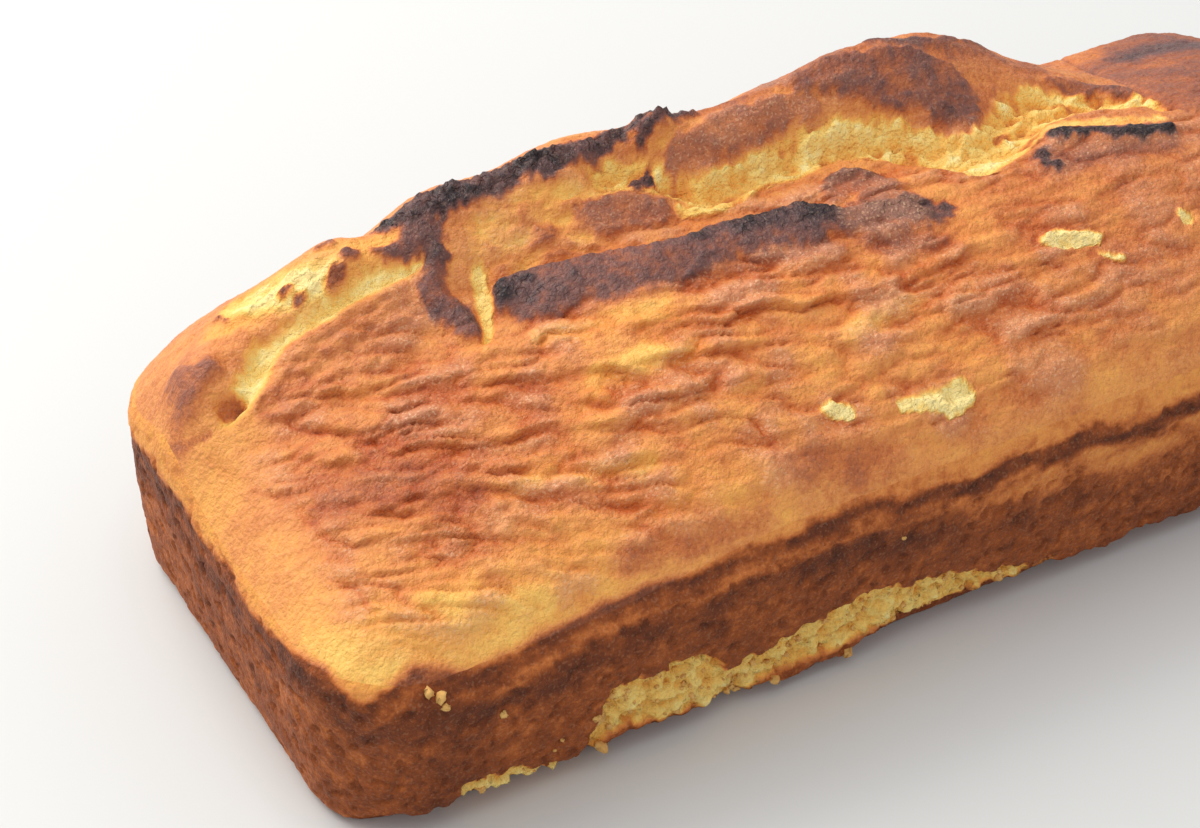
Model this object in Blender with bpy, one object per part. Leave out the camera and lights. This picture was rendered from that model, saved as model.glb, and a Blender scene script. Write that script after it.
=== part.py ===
"""Pound cake loaf: one solid of baked cake, browned all over and split open along its top.

Metres, +Z up. +X runs along the loaf towards its far end, -Y is the side that the
photograph shows, and the origin is the middle of the flat underside.
"""
import math

import bmesh
import bpy
from mathutils import Vector, noise

# Driving dimensions of the shape that the tin gave the cake
BASE_LENGTH = 0.242
BASE_WIDTH = 0.099
CORNER_RADIUS = 0.018
RIM_HEIGHT = 0.031
RIM_RISE = 0.005
NEAR_FLARE = 0.0035
FAR_FLARE = 0.0028
END_FLARE = 0.0016
BASE_ROUNDING = 0.0011

# Driving dimensions of the risen top
SHOULDER = 0.0050
SHOULDER_REACH = 0.012
DOME_RISE = 0.0175
CREST_RISE = 0.0190
CREST_Y = 0.029
CREST_NEAR_REACH = 0.014
CREST_FAR_REACH = 0.018

# How finely the loaf is divided: along, across and up the wall
CELLS_ALONG = 82
CELLS_ACROSS = 35

# Rows up the wall: share of the rim's height, height above the rim, bulge outwards
WALL_ROWS = (
    (0.00, 0.0, -BASE_ROUNDING),
    (0.06, 0.0, 0.0),
    (0.33, 0.0, 0.0004),
    (0.66, 0.0, 0.0004),
    (0.90, 0.0, 0.0001),
    (1.00, 0.0, -0.0009),
    (1.00, 0.0016, 0.0001),
    (1.00, 0.0032, -0.0007),
    (1.00, 0.0042, 0.0),
)

# Soft swells of the top: middle, half-lengths along and across, rise
SWELLS = (
    (-0.115, 0.020, 0.0095, 0.0110, 0.0075),
    (-0.104, 0.037, 0.0110, 0.0090, 0.0026),
    (-0.084, 0.031, 0.0080, 0.0090, 0.0020),
    (-0.076, 0.033, 0.0060, 0.0090, -0.0036),
    (-0.064, 0.031, 0.0090, 0.0090, 0.0012),
    (-0.038, 0.032, 0.0100, 0.0090, 0.0025),
    (-0.008, 0.030, 0.0090, 0.0090, -0.0020),
    (0.028, 0.029, 0.0140, 0.0120, 0.0020),
    (0.104, 0.020, 0.0140, 0.0200, 0.0025),
    (0.080, -0.020, 0.0300, 0.0180, 0.0010),
)

# Plates of crust with steeper edges: middle, half-lengths, turn in degrees, rise
PLATES = (
    (-0.091, 0.012, 0.016, 0.0080, 8, 0.0012),
    (-0.009, 0.024, 0.016, 0.0048, 0, 0.0018),
    (0.024, 0.021, 0.017, 0.0075, -22, 0.0022),
    (-0.022, 0.026, 0.004, 0.0040, 0, 0.0018),
    (0.068, 0.023, 0.010, 0.0055, 15, 0.0010),
)

# Ridges and clefts that follow a path: points, half-width, rise, steepness of their sides
LEFT_CRACK = ((-0.118, 0.015), (-0.111, 0.014), (-0.103, 0.019), (-0.088, 0.022), (-0.074, 0.020))
SPLIT_MIDDLE = ((-0.037, 0.020), (-0.025, 0.0165), (-0.013, 0.0125), (0.000, 0.0125), (0.010, 0.011))
SPLIT_RIGHT = ((0.016, 0.008), (0.025, 0.002), (0.036, 0.002), (0.050, 0.008), (0.064, 0.007), (0.075, 0.003))
CHARRED_LIP = ((-0.058, 0.009), (-0.045, 0.009), (-0.030, 0.007), (-0.015, 0.0045), (0.004, 0.004), (0.018, -0.003))
LIP_UNDERCUT = ((-0.061, 0.000), (-0.045, -0.0005), (-0.030, -0.002), (-0.015, -0.006), (0.002, -0.007))
CHARRED_FLAP = ((-0.071, 0.018), (-0.069, 0.013), (-0.068, 0.007))
PALE_CLEFT = ((-0.066, 0.001), (-0.0645, 0.008), (-0.062, 0.016))
CHARRED_STRIP = ((0.045, -0.004), (0.053, -0.002), (0.062, -0.004), (0.072, -0.007))
FOLDS = (
    (LEFT_CRACK, 0.0030, -0.0028, 2),
    (SPLIT_MIDDLE, 0.0046, -0.0042, 3),
    (SPLIT_RIGHT, 0.0072, -0.0042, 4),
    (CHARRED_LIP, 0.0056, 0.0030, 4),
    (LIP_UNDERCUT, 0.0030, -0.0010, 2),
    (CHARRED_FLAP, 0.0036, 0.0022, 2),
    (PALE_CLEFT, 0.0026, -0.0024, 2),
    (CHARRED_STRIP, 0.0036, 0.0026, 2),
)

# Where the crust was torn off the foot of the near wall
TEAR_START = -0.076
TEAR_END = 0.006
TEAR_HEIGHT = 0.015
TEAR_DEPTH = 0.0024

CRUST_COLOUR = (0.42, 0.15, 0.035, 1.0)


def smooth(value, start, end):
    """0 before start, 1 after end, and an even curve between."""
    share = min(max((value - start) / (end - start), 0.0), 1.0)
    return share * share * (3.0 - 2.0 * share)


def swell(x, y, middle_x, middle_y, reach_x, reach_y, turn=0.0, steepness=1.0):
    """1 at the middle of a swell and 0 far from it; a steeper one has a flatter top."""
    angle = math.radians(turn)
    away_x, away_y = x - middle_x, y - middle_y
    along = (away_x * math.cos(angle) + away_y * math.sin(angle)) / reach_x
    across = (away_y * math.cos(angle) - away_x * math.sin(angle)) / reach_y
    return math.exp(-(along * along + across * across) ** steepness)


def path_distance(x, y, path):
    """Distance from a point to the nearest stretch of a path."""
    nearest = 1.0
    for (start_x, start_y), (end_x, end_y) in zip(path, path[1:]):
        run_x, run_y = end_x - start_x, end_y - start_y
        share = ((x - start_x) * run_x + (y - start_y) * run_y) / (run_x * run_x + run_y * run_y)
        share = min(max(share, 0.0), 1.0)
        nearest = min(nearest, math.hypot(x - start_x - share * run_x, y - start_y - share * run_y))
    return nearest


def uneven(x, y, z, size, seed):
    """Seeded unevenness between about -1 and 1, with lumps of the given size."""
    return noise.noise(Vector((x / size + seed * 7.3, y / size - seed * 3.1, z / size + seed)))


def rim_height(x, y):
    """The line that the tin's edge left: it climbs towards the middle of the near side."""
    far_side = smooth(y, -0.020, 0.040)
    return RIM_HEIGHT + RIM_RISE * smooth(x, -0.080, -0.035) * (1.0 - 0.9 * far_side)


def rim_distance(x, y):
    """Distance inwards from the outline of the base, a rectangle with round corners."""
    out_x = abs(x) - (BASE_LENGTH / 2 - CORNER_RADIUS)
    out_y = abs(y) - (BASE_WIDTH / 2 - CORNER_RADIUS)
    corner = math.hypot(max(out_x, 0.0), max(out_y, 0.0))
    return CORNER_RADIUS - corner - min(max(out_x, out_y), 0.0)


def dome_height(x, y):
    """The whole risen shape without its crust's relief."""
    along = min(abs(x) / (BASE_LENGTH / 2), 1.0)
    across = min(abs(y) / (BASE_WIDTH / 2), 1.0)
    inwards = min(max(rim_distance(x, y) / SHOULDER_REACH, 0.0), 1.0)
    height = rim_height(x, y) + SHOULDER + DOME_RISE * (1.0 - across ** 1.5) * (1.0 - along ** 4)
    height += 0.0020 * (1.0 - (1.0 - inwards) ** 2)
    risen = smooth(x, -0.132, -0.068) * (1.0 - smooth(x, 0.036, 0.080))
    reach = CREST_NEAR_REACH if y < CREST_Y else CREST_FAR_REACH
    return height + CREST_RISE * risen * math.exp(-((y - CREST_Y) / reach) ** 2)


def top_height(x, y):
    """The dome with its swells, plates, ridges, clefts and broad creases."""
    height = dome_height(x, y)
    for middle_x, middle_y, reach_x, reach_y, rise in SWELLS:
        height += rise * swell(x, y, middle_x, middle_y, reach_x, reach_y)
    for middle_x, middle_y, reach_x, reach_y, turn, rise in PLATES:
        height += rise * swell(x, y, middle_x, middle_y, reach_x, reach_y, turn, steepness=3.0)
    for path, half_width, rise, steepness in FOLDS:
        height += rise * math.exp(-(path_distance(x, y, path) / half_width) ** steepness)
    inside = smooth(rim_distance(x, y), 0.0, 0.010)
    height += 0.0006 * inside * uneven(x * 0.5, y, 0.0, 0.006, seed=1)
    height += 0.0008 * inside * uneven(x, y, 0.0, 0.018, seed=2)
    return height


def plan_point(along, across):
    """A place of the square grid, -1 to 1 each way, on the base: its point and outward direction."""
    flat = Vector((along * BASE_LENGTH / 2, across * BASE_WIDTH / 2))
    limit_x = BASE_LENGTH / 2 - CORNER_RADIUS
    limit_y = BASE_WIDTH / 2 - CORNER_RADIUS
    inner = Vector((min(max(flat.x, -limit_x), limit_x), min(max(flat.y, -limit_y), limit_y)))
    out = flat - inner
    if out.length < 1e-9:
        return flat, Vector((0.0, 0.0))
    rounded = out * (max(abs(out.x), abs(out.y)) / out.length)
    return inner + rounded, out.normalized()


def flare(outward):
    """How far the rim stands out beyond the base, in an outward direction."""
    side = NEAR_FLARE if outward.y < 0.0 else FAR_FLARE
    return END_FLARE * outward.x ** 2 + side * outward.y ** 2


def tear(x, y, z):
    """How deep the torn patch at the foot of the near wall goes in at a point."""
    along = smooth(x, TEAR_START, TEAR_START + 0.006) * (1.0 - smooth(x, TEAR_END - 0.006, TEAR_END))
    ragged = TEAR_HEIGHT * (1.0 + 0.30 * uneven(x, 0.0, 0.0, 0.012, seed=3))
    up = smooth(z, 0.001, 0.003) * (1.0 - smooth(z, ragged - 0.004, ragged))
    return TEAR_DEPTH * along * up if y < 0.0 else 0.0


def wall_point(along, across, row):
    """A point of one row of the wall."""
    share, above_rim, bulge = WALL_ROWS[row]
    place, outward = plan_point(along, across)
    height = share * rim_height(place.x, place.y) + above_rim
    leaning = share if above_rim == 0.0 else 1.0 - above_rim / (SHOULDER + 0.001)
    out = leaning * flare(outward) + bulge - tear(place.x, place.y, height)
    out += 0.0004 * smooth(height, 0.0, 0.004) * uneven(place.x, place.y, height, 0.016, seed=4)
    return Vector((place.x + outward.x * out, place.y + outward.y * out, height))


def grid_box():
    """A closed box from -1 to 1, divided along, across and up, with a plain underside."""
    grid = bmesh.new()
    bmesh.ops.create_cube(grid, size=2.0)
    for axis, cells in ((0, CELLS_ALONG), (1, CELLS_ACROSS), (2, len(WALL_ROWS))):
        crossing = [edge for edge in grid.edges if abs(edge.verts[0].co[axis] - edge.verts[1].co[axis]) > 1e-6]
        bmesh.ops.subdivide_edges(grid, edges=crossing, cuts=cells - 1, use_grid_fill=True)
    underside = [face for face in grid.faces if face.calc_center_median().z < -0.999]
    plain = bmesh.ops.dissolve_faces(grid, faces=underside, use_verts=True)
    bmesh.ops.poke(grid, faces=plain["region"])
    return grid


def shape_loaf(grid):
    """Moves every point of the grid box to its place on the loaf."""
    for vertex in grid.verts:
        along, across, up = vertex.co
        row = round((up + 1.0) / 2.0 * len(WALL_ROWS))
        if row == len(WALL_ROWS):
            place = plan_point(along, across)[0]
            vertex.co = (place.x, place.y, top_height(place.x, place.y))
        elif max(abs(along), abs(across)) < 0.999:
            vertex.co = (0.0, 0.0, 0.0)
        else:
            vertex.co = wall_point(along, across, row)


def browned_crust():
    """The crust's material."""
    material = bpy.data.materials.new("browned_crust")
    material.use_nodes = True
    shader = material.node_tree.nodes["Principled BSDF"]
    shader.inputs["Base Color"].default_value = CRUST_COLOUR
    shader.inputs["Roughness"].default_value = 0.62
    shader.inputs["Metallic"].default_value = 0.0
    material.diffuse_color = CRUST_COLOUR
    return material


def build_loaf():
    """The loaf, in a collection named for it."""
    grid = grid_box()
    shape_loaf(grid)
    bmesh.ops.triangulate(grid, faces=grid.faces[:])
    bmesh.ops.recalc_face_normals(grid, faces=grid.faces[:])
    mesh = bpy.data.meshes.new("loaf")
    grid.to_mesh(mesh)
    grid.free()
    mesh.shade_smooth()
    mesh.materials.append(browned_crust())
    loaf = bpy.data.objects.new("loaf", mesh)
    collection = bpy.data.collections.new("pound_cake_loaf")
    bpy.context.scene.collection.children.link(collection)
    collection.objects.link(loaf)


for leftover in list(bpy.data.objects):
    bpy.data.objects.remove(leftover, do_unlink=True)
build_loaf()
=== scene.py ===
import itertools
import math

import bpy
import numpy as np
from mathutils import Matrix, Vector


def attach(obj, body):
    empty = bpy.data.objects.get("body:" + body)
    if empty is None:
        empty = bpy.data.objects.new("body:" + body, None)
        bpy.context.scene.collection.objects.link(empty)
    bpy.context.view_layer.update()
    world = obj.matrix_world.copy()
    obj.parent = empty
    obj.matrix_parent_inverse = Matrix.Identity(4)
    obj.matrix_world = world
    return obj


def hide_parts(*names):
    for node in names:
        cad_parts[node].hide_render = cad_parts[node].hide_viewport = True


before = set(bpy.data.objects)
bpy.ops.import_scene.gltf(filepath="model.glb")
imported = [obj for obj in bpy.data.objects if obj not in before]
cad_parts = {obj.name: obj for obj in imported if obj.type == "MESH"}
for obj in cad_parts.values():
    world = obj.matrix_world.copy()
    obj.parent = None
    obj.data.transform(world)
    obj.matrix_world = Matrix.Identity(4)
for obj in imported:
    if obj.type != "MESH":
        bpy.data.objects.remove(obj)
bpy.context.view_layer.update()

# The view: a hand-held camera stood at the near left corner and looked down on the loaf,
# close enough for the far right end to leave the picture. A long lens kept its sides straight.
CAMERA_PLACE = (-0.2500, -0.3626, 0.3692)
CAMERA_DOWN = math.radians(39.17)
CAMERA_TURN = math.radians(-29.26)
LENS = 90.0

lens = bpy.data.cameras.new("view")
lens.lens = LENS
lens.sensor_width = 36.0
lens.clip_start = 0.05
camera = bpy.data.objects.new("view", lens)
camera.location = CAMERA_PLACE
camera.rotation_euler = (math.pi / 2 - CAMERA_DOWN, 0.0, CAMERA_TURN)
bpy.context.scene.collection.objects.link(camera)
bpy.context.scene.camera = camera

# The risen top: the crust that swelled out of the tin while the loaf baked. Its skin set and
# shrank in fine wrinkles, the middle split along the crest, and the lips of the split charred.
MM = 0.001
BASE_LENGTH, BASE_WIDTH, CORNER_RADIUS = 0.242, 0.099, 0.018
RIM_HEIGHT, RIM_RISE = 0.031, 0.005
SHOULDER, SHOULDER_REACH, DOME_RISE = 0.0050, 0.012, 0.0175
CREST_RISE, CREST_Y, CREST_NEAR_REACH, CREST_FAR_REACH = 0.0190, 0.029, 0.014, 0.018
EDGE_DROP, EDGE_REACH = 0.0022, 0.0065
FOLD_LEAN = 0.85 * MM
STEPS_ALONG, STEPS_ACROSS = 460, 188

# Soft swells: middle, half-lengths along and across, rise
SWELLS = (
    (-0.115, 0.020, 0.0095, 0.0110, 0.0075),
    (-0.104, 0.037, 0.0110, 0.0090, 0.0026),
    (-0.084, 0.031, 0.0080, 0.0090, 0.0020),
    (-0.076, 0.033, 0.0060, 0.0090, -0.0036),
    (-0.064, 0.031, 0.0090, 0.0090, 0.0012),
    (-0.038, 0.032, 0.0100, 0.0090, 0.0025),
    (-0.008, 0.030, 0.0090, 0.0090, -0.0020),
    (0.028, 0.029, 0.0140, 0.0120, 0.0020),
    (0.104, 0.020, 0.0140, 0.0200, 0.0025),
    (0.080, -0.020, 0.0300, 0.0180, 0.0010),
)
# Plates of crust: middle, half-lengths, turn in degrees, rise
PLATES = (
    (-0.091, 0.012, 0.016, 0.0080, 8, 0.0012),
    (-0.009, 0.024, 0.016, 0.0048, 0, 0.0018),
    (0.024, 0.021, 0.017, 0.0075, -22, 0.0022),
    (-0.022, 0.026, 0.004, 0.0040, 0, 0.0018),
    (0.068, 0.023, 0.010, 0.0055, 15, 0.0010),
)

# What the split laid bare or burnt, and the painted shade under its lips, each a stroke of (x, y,
# half-width) in millimetres
CHAR_RIDGE = ((-61.6, 7.4, 3.0), (-57.5, 5.8, 5.1), (-50.7, 3.7, 5.3), (-42, 1.6, 4.9), (-35, -0.2, 4.3),
              (-27.5, -1.1, 4.2), (-19.3, -1.1, 4.2), (-11.9, -2.4, 4.5), (-5.1, -3.2, 4.7), (0, -5.1, 3.0))
RIDGE_END = ((0, -5.1, 3.0), (5.3, -5, 2.3), (11.4, -7, 2.8), (16.1, -11.2, 1.7))
RIDGE_BLACK = ((-27, 1.0, 1.6), (-19.3, 1.0, 2.6), (-11.9, -0.6, 3.3), (-5.1, -1.5, 3.6), (-2, -3.5, 2.6))
RIDGE_TIP = ((-62, 8.0, 1.8), (-58, 6.0, 2.4))
END_BLACK = ((7, -3.8, 1.6), (12, -5.8, 2.6), (17, -9.4, 2.2))
LIP_SHADE = ((-61, 2.0, 0.8), (-49.8, -1.8, 1.6), (-33, -4.6, 1.6), (-16.1, -7.0, 1.9), (-2.8, -9.4, 1.9),
             (8, -13.5, 2.6), (14, -15.5, 1.8))
UPPER_PLATE = ((-40.5, 15, 2.3), (-35.7, 14.4, 3.4), (-30.3, 13.3, 3.2), (-27.1, 12, 2.5))
PLATE_TIP = ((-29.5, 18.6, 0.9), (-26.5, 18.4, 0.9))
PINK_PATCH = ((4.0, 4.0, 2.8), (8.5, 4.2, 3.4), (11.5, 1.0, 3.6), (9.0, -3.5, 4.6), (3.5, -6.5, 4.4),
              (12, -9, 3.2))
PATCH_TIPS = ((5.2, 7.0, 0.8), (7.5, 7.4, 1.0), (10.8, 6.6, 1.3), (13.0, 3.5, 1.0))
DARK_CRUMBS = (
    ((-94.6, 27.2, 0.9), (-93.4, 26.4, 0.8)), ((-93.4, 24.3, 0.8), (-92.2, 23.9, 0.8)),
    ((-85.6, 30.2, 1.0), (-84.2, 29.8, 1.0)), ((-87.2, 22.9, 1.3), (-85.6, 23.0, 1.4)),
    ((-83.0, 25.1, 0.9), (-81.8, 24.8, 0.9)), ((-78.2, 23.9, 0.8), (-76.8, 23.7, 0.8)),
    ((-104.6, 33.0, 0.9), (-104.0, 31.0, 0.8)),
)
BROWN_FLUSHES = (
    ((-34, -43, 2.0), (-26, -45, 3.0), (-18, -47.5, 2.0)),
    ((-66, -45, 2.0), (-56, -47.5, 2.5), (-44, -48.5, 2.0)),
    ((-104, -14, 4.0), (-94, -18, 5.0), (-86, -26, 4.0)),
)
GOLD_FLUSHES = (
    ((-119.5, -34.0, 2.0), (-113.5, -41.0, 3.0), (-106.0, -46.0, 3.4), (-97.0, -47.0, 3.6),
     (-87.0, -46.5, 3.0)),
    ((-100.0, -38.8, 2.0), (-94.0, -43.5, 3.0), (-84.0, -46.0, 2.6)),
    ((-77.1, -27.0, 1.2), (-71.2, -28.1, 1.4), (-64.2, -31.0, 1.5), (-56.5, -34.2, 1.4)),
    ((-56.4, -16.5, 2.4), (-47.0, -17.5, 2.4), (-39.0, -19.5, 1.6)),
    ((-60.0, -4.0, 2.0), (-50.0, -7.0, 2.6), (-40.0, -9.5, 2.0)),
    ((-12.0, -26.0, 1.6), (-4.0, -25.5, 2.0), (3.0, -25.0, 1.4)),
)
FLAP = ((-69, 17.9, 1.3), (-70.2, 16.5, 1.7), (-72.3, 14.2, 2.6), (-71, 10.6, 2.6), (-69.7, 5.7, 2.8))
FLAP_BLACK = ((-69.8, 7.4, 1.9), (-69.4, 5.0, 2.2))
FLAP_KNOB = ((-70.2, 18.4, 1.1), (-68.6, 18.0, 1.3))
PALE_CLEFT = ((-62.7, 15.2, 1.2), (-63.8, 11.4, 1.5), (-65.4, 7, 1.3), (-66.6, 4.2, 1.0), (-68.2, 1.8, 0.5))
VALLEY = ((-34.9, 21.3, 2.4), (-28.6, 19.8, 2.6), (-23.1, 17.5, 2.5), (-17.6, 13.6, 3.2),
          (-8.7, 14.5, 3.3), (1.1, 14.8, 3.9), (9.8, 15, 3.3), (19, 12.2, 3.8), (26.5, 6.8, 4.8),
          (32.3, 1.2, 5.4), (40.9, 3.4, 5.2), (49, 9.8, 5.4), (57, 11.0, 5.6), (66, 10.0, 5.2),
          (73, 6.5, 4.4), (75.5, 1.0, 2.2))
VALLEY_LEFT = ((-23.5, 11.5, 1.6), (-18, 10.4, 2.0), (-10, 10.8, 1.6))
LEFT_CRACK = ((-112.5, 12.5, 0.5), (-109, 14.0, 0.8), (-105.6, 17.0, 1.4), (-101.6, 20.4, 1.5),
              (-97.1, 21.2, 1.1), (-88.9, 20.0, 1.1), (-81.2, 19.8, 1.0), (-74.6, 19.6, 0.8),
              (-70.7, 19.7, 0.5))
YELLOW_BED = ((-100.6, 32.9, 3.0), (-97, 31.1, 4.2), (-91.7, 26.3, 3.8), (-87.1, 23.8, 2.2))
GOLD_BANK = ((-106, 29, 3.0), (-96, 31, 6.0), (-85, 26, 5.0), (-76, 25, 3.0))
THIN_CRACK = ((-123, 25.9, 0.25), (-121.6, 19.1, 0.3), (-119.4, 15.1, 0.3), (-115.8, 12.4, 0.4))
PIT = ((-112.1, 14.4, 1.2), (-109.6, 14.5, 1.0))
BROWN_KNOB = ((-116.2, 26, 2.2), (-115.9, 19.9, 3.4), (-112.4, 21, 2.4))
ORANGE_LUMP = ((-108.7, 25.3, 3.4), (-104.6, 23.9, 3.0))
WRINKLED_PLATE = ((-104, 10.0, 3.6), (-92, 11.5, 5.4), (-80, 12.5, 4.6))
BETWEEN = ((-58, 16, 6.0), (-48, 17, 8.0), (-38, 20, 5.0), (-23, 19, 2.5), (-8, 18.5, 2.4), (7, 18.5, 2.0))
CREST_BROWN = ((-16, 28, 2.6), (-2, 27.5, 3.4), (12, 28, 3.6), (26, 26.5, 3.6), (38, 24.5, 3.0),
               (50, 25, 2.6), (62, 22, 2.0))
HUMP_CHAR = ((90, 31, 2.5), (101, 31, 4.5), (114, 27, 4.0))
STRAND = ((-20, 15.5, 0.7), (-5, 16.6, 0.8), (10, 16.6, 0.8), (22, 13, 0.8), (31, 7.5, 0.9),
          (42, 6.5, 0.9), (52, 10.8, 1.0), (64, 12.2, 0.8), (74, 7.5, 0.4))
PLATE_ONE = ((-21, 18.7, 1.5), (-13.7, 20.5, 3.4), (-4.8, 21.3, 3.4), (4, 21.7, 2.3), (9.2, 20.7, 1.1))
PLATE_TWO = ((9, 24.8, 1.9), (16.5, 22.9, 3.8), (24.6, 19.9, 4.9), (32.6, 16.8, 5.6), (36.5, 14.9, 5.2))
PLATE_THREE = ((62.2, 17.1, 1.7), (69.2, 15, 2.3), (74, 11.9, 1.5))
CREST_KNOB = ((-26.4, 24.0, 1.2), (-23.4, 24.3, 1.5), (-20.9, 24.6, 1.3))
CREST_CHAR = ((-74.3, 28.0, 1.6), (-68.1, 27.0, 2.8), (-60.7, 26.3, 3.0), (-52.8, 26.3, 2.6),
              (-46, 26, 2.6), (-40.2, 25.5, 2.6), (-33.2, 25.3, 2.2), (-24.3, 26.5, 1.8),
              (-14, 26.4, 1.4))
SECOND_CHAR = ((-75.6, 22.4, 1.3), (-71.2, 22.2, 2.2), (-67.4, 21.9, 1.2))
CREST_LINE = ((25.5, 27.3, 0.9), (37, 25.0, 1.5), (51.3, 26.3, 1.2))
CHAR_STRIP = ((49.5, -1.0, 1.5), (55.4, -3.3, 1.7), (60.5, -5.7, 1.7), (66.2, -7.2, 1.9), (70.2, -8.2, 1.2))
BARE_BANK = ((46.5, 2.5, 1.6), (50.5, 2.6, 1.8), (56.0, 0.7, 1.9), (61.0, -1.6, 1.8), (66.5, -3.0, 1.8),
             (71.0, -4.2, 1.2))
STRIP_BLOB = ((43.2, -4.5, 1.5), (41.9, -7.6, 1.4), (44.0, -8.4, 1.0))
STRIP_LIP_SHADE = ((43.5, -6.8, 3.0), (51.1, -8.0, 2.6), (59, -9.6, 2.2), (68, -11.6, 1.6))
OVERLAP = ((86.5, 49, 0.5), (79.8, 24.9, 0.6), (77.3, 8.4, 0.6), (78.2, -3.8, 0.3))
PALE_PATCHES = (
    ((31.8, -22.2, 0.8), (34.6, -22.9, 1.9), (37.2, -23.8, 2.0), (40.8, -24.6, 1.3)),
    ((40.3, -27.9, 0.6), (43.2, -30.2, 0.7)),
    ((-10.2, -41, 1.2), (-6.0, -41.6, 1.6), (-2.8, -42.6, 2.4), (1.2, -42.2, 2.2)),
    ((-23.1, -37.4, 1.4), (-20.4, -38.8, 1.5)),
    ((59.9, -26.6, 1.3), (60.3, -26.8, 1.1)),
)
# Big single creases of the near slope, as strokes traced along them
CREASES = (
    ((-105.9, 12.5, 0.3), (-101.8, 10.1, 0.6), (-97.0, 6.1, 0.7), (-92.5, 3.7, 0.6), (-85.8, 1.8, 0.3)),
    ((-102.2, 3.2, 0.4), (-98.5, -0.9, 0.9), (-94.7, -4.7, 0.9), (-88.6, -3.9, 0.4)),
    ((-98.0, -6.4, 0.3), (-94.4, -6.7, 0.7), (-92.7, -11.7, 0.8), (-87.4, -12.6, 0.8), (-84.5, -14.9, 0.9),
     (-77.8, -18.5, 1.0), (-70.5, -20.0, 0.9), (-62.0, -23.6, 0.8), (-58.1, -25.2, 0.3)),
    ((-83.7, -8.0, 0.3), (-76.3, -9.4, 0.7), (-69.4, -12.7, 0.3)),
    ((-59.8, -19.6, 0.4), (-56.0, -23.2, 0.9), (-44.4, -26.6, 0.8), (-29.4, -28.6, 0.5)),
    ((-83.9, -21.4, 0.3), (-75.9, -24.7, 0.7), (-70.9, -27.7, 0.3)),
    ((-106.4, -0.5, 0.3), (-101.8, -6.5, 0.7), (-98.9, -8.3, 0.3)),
    ((-117.1, 9.1, 0.3), (-114.3, 3.1, 0.5)),
    ((-114.0, 0.4, 0.3), (-111.9, -5.5, 0.7), (-109.6, -7.1, 0.3)),
    ((-102.8, -14.6, 0.3), (-101.8, -19.3, 0.8), (-97.4, -23.0, 0.9), (-94.9, -23.3, 0.3)),
    ((-98.3, -20.6, 0.4), (-93.3, -20.8, 0.8), (-87.3, -24.2, 0.5)),
    ((-109.8, -10.3, 0.3), (-109.8, -16.7, 0.7), (-106.3, -23.5, 0.8), (-98.2, -25.4, 0.9),
     (-92.7, -28.2, 0.8), (-90.0, -29.5, 0.3)),
    ((-86.4, -22.5, 0.4), (-80.0, -27.0, 0.5)),
    ((-86.2, -28.6, 0.4), (-80.3, -30.1, 0.4)),
    ((-81.2, -32.8, 0.4), (-76.6, -35.3, 0.5)),
    ((-87.8, -32.2, 0.4), (-83.0, -36.1, 0.5)),
    ((-112.9, -23.9, 0.3), (-109.0, -30.9, 0.6), (-108.5, -36.8, 0.3)),
    ((-77.3, -27.4, 0.4), (-67.1, -36.1, 0.6), (-56.0, -41.7, 0.3)),
    ((-58.1, -7.2, 0.4), (-45.7, -11.9, 0.8), (-35.9, -12.7, 0.4)),
    ((-39.1, -14.2, 0.4), (-32.8, -17.6, 0.8), (-24.6, -16.0, 0.7), (-17.3, -19.7, 0.9),
     (-12.4, -19.4, 0.8), (-0.4, -23.3, 0.4)),
    ((-21.2, -12.1, 0.5), (-16.2, -13.9, 0.5)),
    ((-5.1, -20.3, 0.4), (3.8, -21.4, 0.9), (12.3, -20.6, 0.9), (19.2, -19.2, 0.5)),
    ((-2.9, -27.3, 0.4), (4.5, -27.9, 0.7), (8.4, -29.2, 0.3)),
    ((-16.3, -28.9, 0.4), (-9.1, -28.5, 0.5)),
    ((-4.6, -30.6, 0.3), (6.6, -32.0, 0.5)),
    ((9.8, -27.7, 0.4), (18.0, -29.6, 0.7), (26.4, -27.8, 0.4)),
    ((-61.7, -12.7, 0.4), (-51.1, -18.0, 0.6)),
    ((-80.0, -2.3, 0.3), (-70.9, -8.2, 0.7), (-66.1, -10.2, 0.3)),
    ((-72.3, -3.0, 0.3), (-67.8, -2.6, 0.6), (-59.4, -8.5, 0.4)),
    ((-48.9, -17.6, 0.4), (-35.7, -21.8, 0.7), (-28.5, -23.2, 0.3)),
    ((-66.9, -22.2, 0.3), (-57.9, -26.5, 0.6), (-42.0, -32.6, 0.4)),
    ((20.6, -37.1, 0.3), (34.5, -35.7, 0.5)),
    ((45.8, -18.2, 0.4), (54.3, -16.4, 0.6)),
    ((28.2, -25.8, 0.3), (35.5, -31.1, 0.5)),
)


def smooth(value, start, end):
    """0 before start, 1 after end, and an even curve between."""
    share = np.clip((value - start) / (end - start), 0.0, 1.0)
    return share * share * (3.0 - 2.0 * share)


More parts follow.
